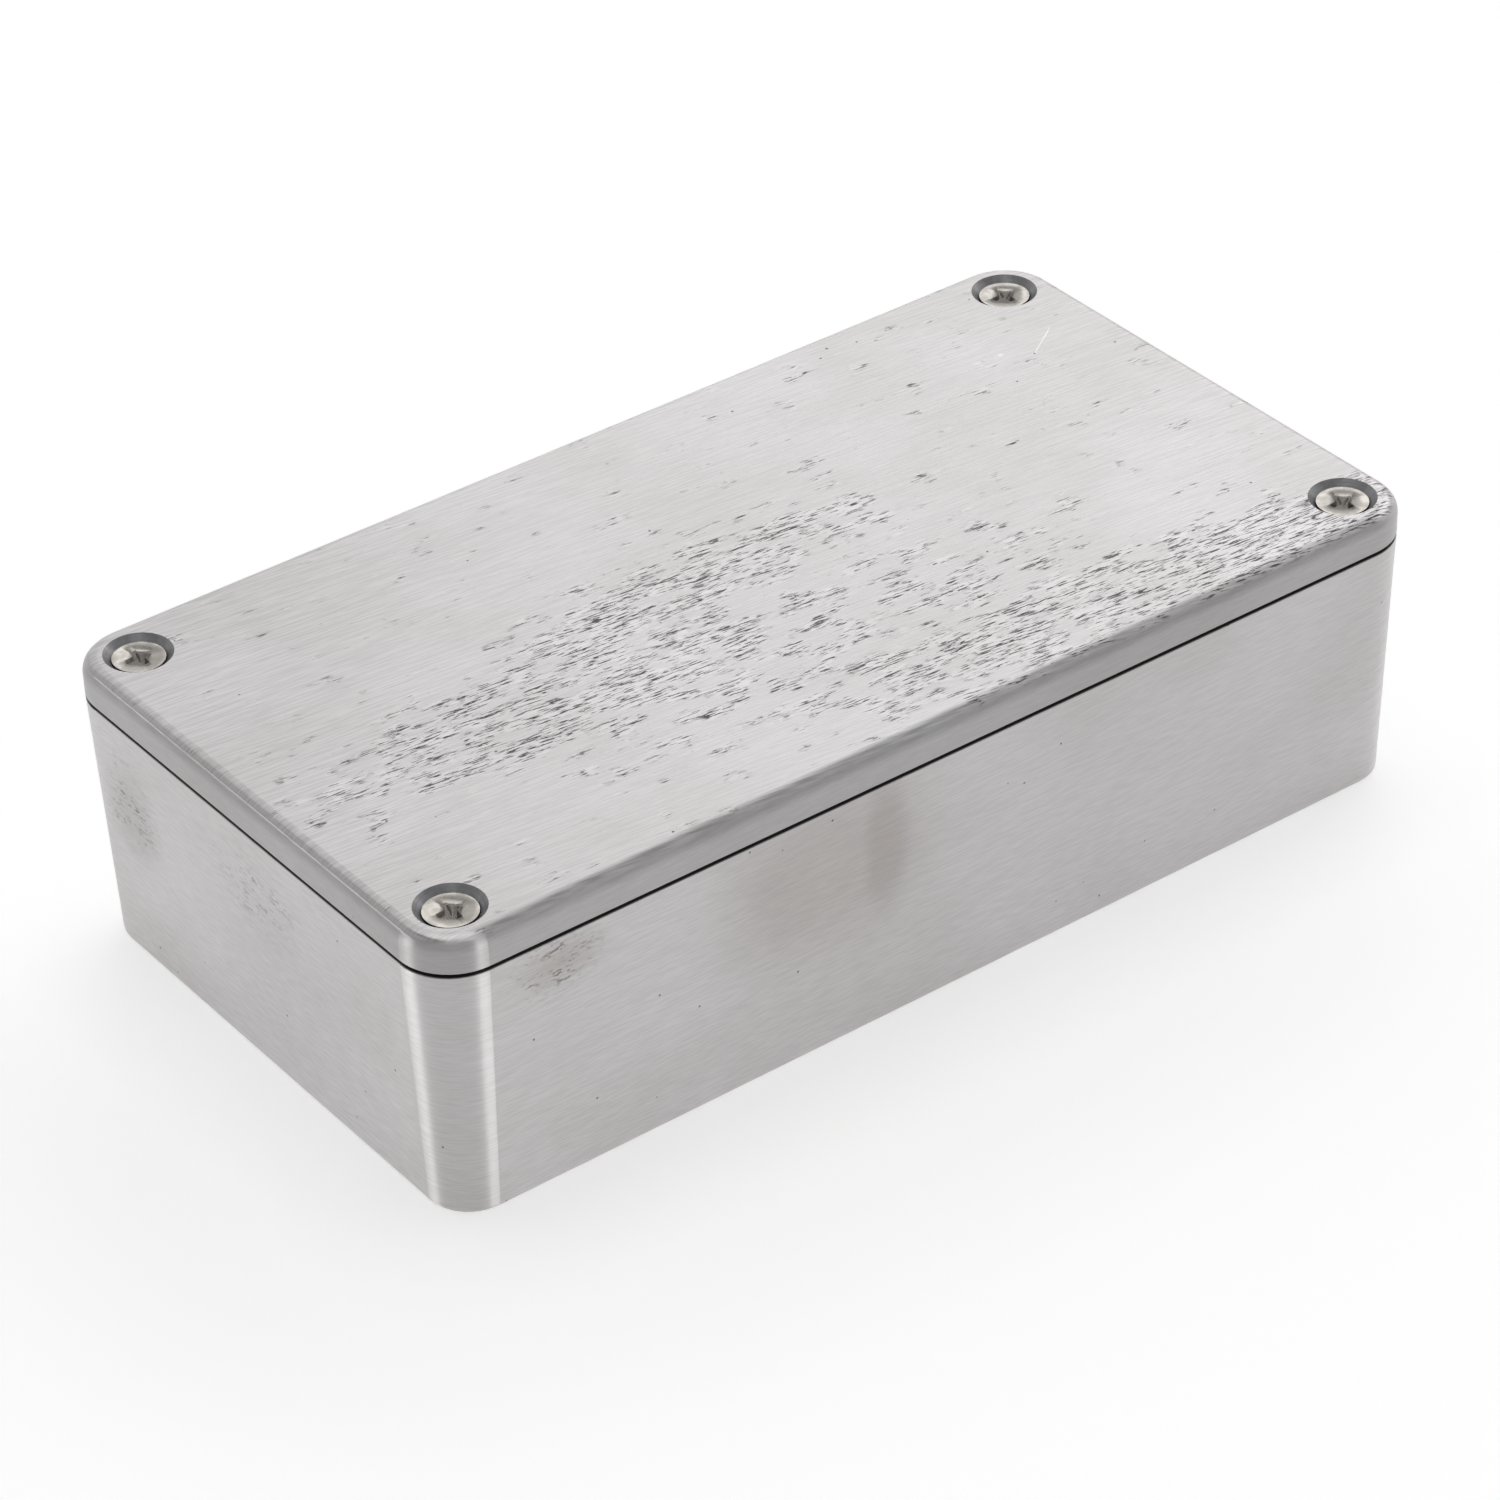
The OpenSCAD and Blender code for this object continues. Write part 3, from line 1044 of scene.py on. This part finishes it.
@dataclass
class LidScrews:
    """The four countersunk screws, cut with a thread below the head."""

    core_r: float = 1.13 * MM
    crest_r: float = 1.43 * MM
    open_r: float = 1.60 * MM
    cutter_r: float = 2.00 * MM
    head_h: float = 1.25 * MM
    past_tip: float = 1.0 * MM

    def build(self) -> None:
        """Cuts the threads, and lets each screw stand for its node."""
        plating = NICKEL_PLATING.build()
        tree = ThreadTree(ThreadSide.SHANK)
        for corner in Corner:
            low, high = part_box(corner.node)
            bottom = low.z - self.past_tip
            top = high.z - self.head_h - THREAD_RUNOUT
            sizes = ThreadSizes(self.core_r, self.crest_r, self.open_r, self.cutter_r, bottom, top)
            blank = self.blank(corner.node)
            piece = tree.run("threaded_" + corner.node, blank, sizes, corner.axis, plating)
            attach(piece, corner.node)
            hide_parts(corner.node)
            LOG.info("%s built, %d faces", piece.name, len(piece.data.polygons))

    def blank(self, node: str) -> bpy.types.Mesh:
        """Copies a screw's solid and joins its loose triangles.

        Args:
            node: The screw's node.

        Returns:
            A closed mesh without a material.
        """
        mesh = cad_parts[node].data.copy()
        mesh.materials.clear()
        shell = bmesh.new()
        shell.from_mesh(mesh)
        bmesh.ops.remove_doubles(shell, verts=shell.verts, dist=WELD_REACH)
        shell.to_mesh(mesh)
        shell.free()
        return mesh


@dataclass(frozen=True)
class PhotoCamera:
    """Camera at the photograph's viewing angle. Azimuth 0 looks along +Y."""

    location: Triple = (-0.249817, -0.344385, 0.306265)
    azimuth_deg: float = 35.881
    elevation_deg: float = 34.791
    roll_deg: float = -2.094
    lens_mm: float = 131.936
    sensor_mm: float = 36.0
    near: float = 0.01
    far: float = 20.0

    def build(self) -> None:
        """Adds the camera and makes it the scene's own."""
        data = bpy.data.cameras.new("photo_camera")
        data.lens = self.lens_mm
        data.sensor_width = self.sensor_mm
        data.clip_start = self.near
        data.clip_end = self.far
        camera = bpy.data.objects.new("photo_camera", data)
        bpy.context.scene.collection.objects.link(camera)
        turn = Matrix.Rotation(math.radians(-self.azimuth_deg), 4, "Z")
        tilt = Matrix.Rotation(math.radians(90.0 - self.elevation_deg), 4, "X")
        roll = Matrix.Rotation(math.radians(self.roll_deg), 4, "Z")
        camera.matrix_world = Matrix.Translation(self.location) @ turn @ tilt @ roll
        bpy.context.scene.camera = camera


@dataclass(frozen=True)
class SoftLamp:
    """A rectangular soft lamp that faces the box. Azimuth 0 is on the side of +X."""

    name: str
    azimuth_deg: float
    elevation_deg: float
    width: float
    height: float
    brightness: float
    distance: float = 2.5

    def build(self) -> None:
        """Adds the lamp, aimed at the middle of the box."""
        data = bpy.data.lights.new(self.name, "AREA")
        data.shape = "RECTANGLE"
        data.size = self.width
        data.size_y = self.height
        # The energy follows the area, so that a lamp of another size looks as bright
        data.energy = self.brightness * math.pi * self.width * self.height
        lamp = bpy.data.objects.new(self.name, data)
        bpy.context.scene.collection.objects.link(lamp)
        across = math.radians(self.azimuth_deg)
        up = math.radians(self.elevation_deg)
        outward = Vector((math.cos(across) * math.cos(up), math.sin(across) * math.cos(up), math.sin(up)))
        middle = (CAD_BOX[0] + CAD_BOX[1]) / 2
        lamp.location = outward * self.distance + middle
        lamp.rotation_euler = outward.to_track_quat("Z", "Y").to_euler()


@dataclass(frozen=True)
class Studio:
    """Pale floor, soft lamps and a soft world.

    The world is bright behind the box and dims towards the camera. Between the lift's two
    elevations its dim side rises to the lift's level, so that the lid isn't dark in views from
    behind. Higher up it dims towards the ceiling.
    """

    floor_half: float = 6.0
    floor_level: float = 0.93
    floor_glow: float = 0.39
    bright_azimuth_deg: float = 48.0
    middle_level: float = 0.585
    side_level: float = 0.46
    lift_ramp_deg: Ramp = (10.0, 30.0)
    lift_level: float = 0.63
    ceiling_ramp_deg: Ramp = (48.0, 60.0)
    ceiling_level: float = 0.14
    # The strips draw the bright lines on the rounded corners. They stand no higher than the box,
    # because the lid would mirror a taller strip.
    lamps: tuple[SoftLamp, ...] = (
        SoftLamp("left_strip", 159.0, 0.0, 0.32, 0.028, 44.0, 1.0),
        SoftLamp("right_strip", 278.0, 0.0, 0.18, 0.028, 72.0, 1.0),
        SoftLamp("back_panel", 29.5, 36.0, 2.6, 0.9, 1.08),
        SoftLamp("overhead", 90.0, 88.0, 1.9, 1.9, 1.3),
    )

    def build(self) -> None:
        """Adds the floor, the world and the lamps, and sets the view transform."""
        self.floor()
        self.world()
        for lamp in self.lamps:
            lamp.build()
        bpy.context.scene.view_settings.view_transform = "Standard"

    def floor(self) -> None:
        """Adds the pale floor under the box.

        Its glow shows to the camera and in reflections, and adds no light to dull surfaces.
        """
        half = self.floor_half
        mesh = bpy.data.meshes.new("studio_floor")
        corners = [(-half, -half, 0.0), (half, -half, 0.0), (half, half, 0.0), (-half, half, 0.0)]
        mesh.from_pydata(corners, [], [(0, 1, 2, 3)])
        floor = bpy.data.objects.new("studio_floor", mesh)
        bpy.context.scene.collection.objects.link(floor)
        material = bpy.data.materials.new("pale_floor")
        material.use_nodes = True
        bench = NodeBench(material.node_tree)
        output = bench.add("ShaderNodeOutputMaterial")
        shader = bench.add("ShaderNodeBsdfDiffuse")
        shader.inputs["Color"].default_value = (self.floor_level, self.floor_level, self.floor_level, 1.0)
        path = bench.add("ShaderNodeLightPath").outputs
        seen = bench.math("MAXIMUM", path["Is Camera Ray"], path["Is Glossy Ray"])
        seen = bench.math("MAXIMUM", seen, path["Is Transmission Ray"])
        glow = bench.add("ShaderNodeEmission")
        bench.feed(glow.inputs["Strength"], bench.math("MULTIPLY", seen, self.floor_glow))
        both = bench.add("ShaderNodeAddShader")
        bench.feed(both.inputs[0], shader.outputs["BSDF"])
        bench.feed(both.inputs[1], glow.outputs["Emission"])
        bench.feed(output.inputs["Surface"], both.outputs["Shader"])
        mesh.materials.append(material)

    def world(self) -> None:
        """Makes the soft world."""
        world = bpy.data.worlds.new("soft_studio")
        bpy.context.scene.world = world
        world.use_nodes = True
        bench = NodeBench(world.node_tree)
        output = bench.add("ShaderNodeOutputWorld")
        background = bench.add("ShaderNodeBackground")
        bench.feed(output.inputs["Surface"], background.outputs["Background"])
        direction = bench.add("ShaderNodeTexCoord").outputs["Generated"]
        azimuth = math.radians(self.bright_azimuth_deg)
        towards = bench.vector("DOT_PRODUCT", direction, (math.cos(azimuth), math.sin(azimuth), 0.0))
        walls = bench.math("MULTIPLY_ADD", towards, self.side_level, self.middle_level)
        lift = bench.math("MULTIPLY", self.rise(bench, direction, self.lift_ramp_deg), self.lift_level)
        walls = bench.math("MAXIMUM", walls, lift)
        overhead = self.rise(bench, direction, self.ceiling_ramp_deg)
        bench.feed(background.inputs["Strength"], bench.blend(overhead, walls, self.ceiling_level))

    def rise(self, bench: NodeBench, direction: Socket, ramp_deg: Ramp) -> Socket:
        """Share that grows from 0 to 1 between two elevations."""
        start, end = (math.sin(math.radians(elevation)) for elevation in ramp_deg)
        return bench.fade(bench.height(direction), start, end)


def main() -> None:
    """Builds the scene: camera and studio first, then the box."""
    logging.basicConfig(level=logging.INFO, format="%(name)s: %(message)s")
    PhotoCamera().build()
    Studio().build()
    Castings().dress()
    TappedHoles().build()
    LidScrews().build()


if __name__ == "__main__":
    main()
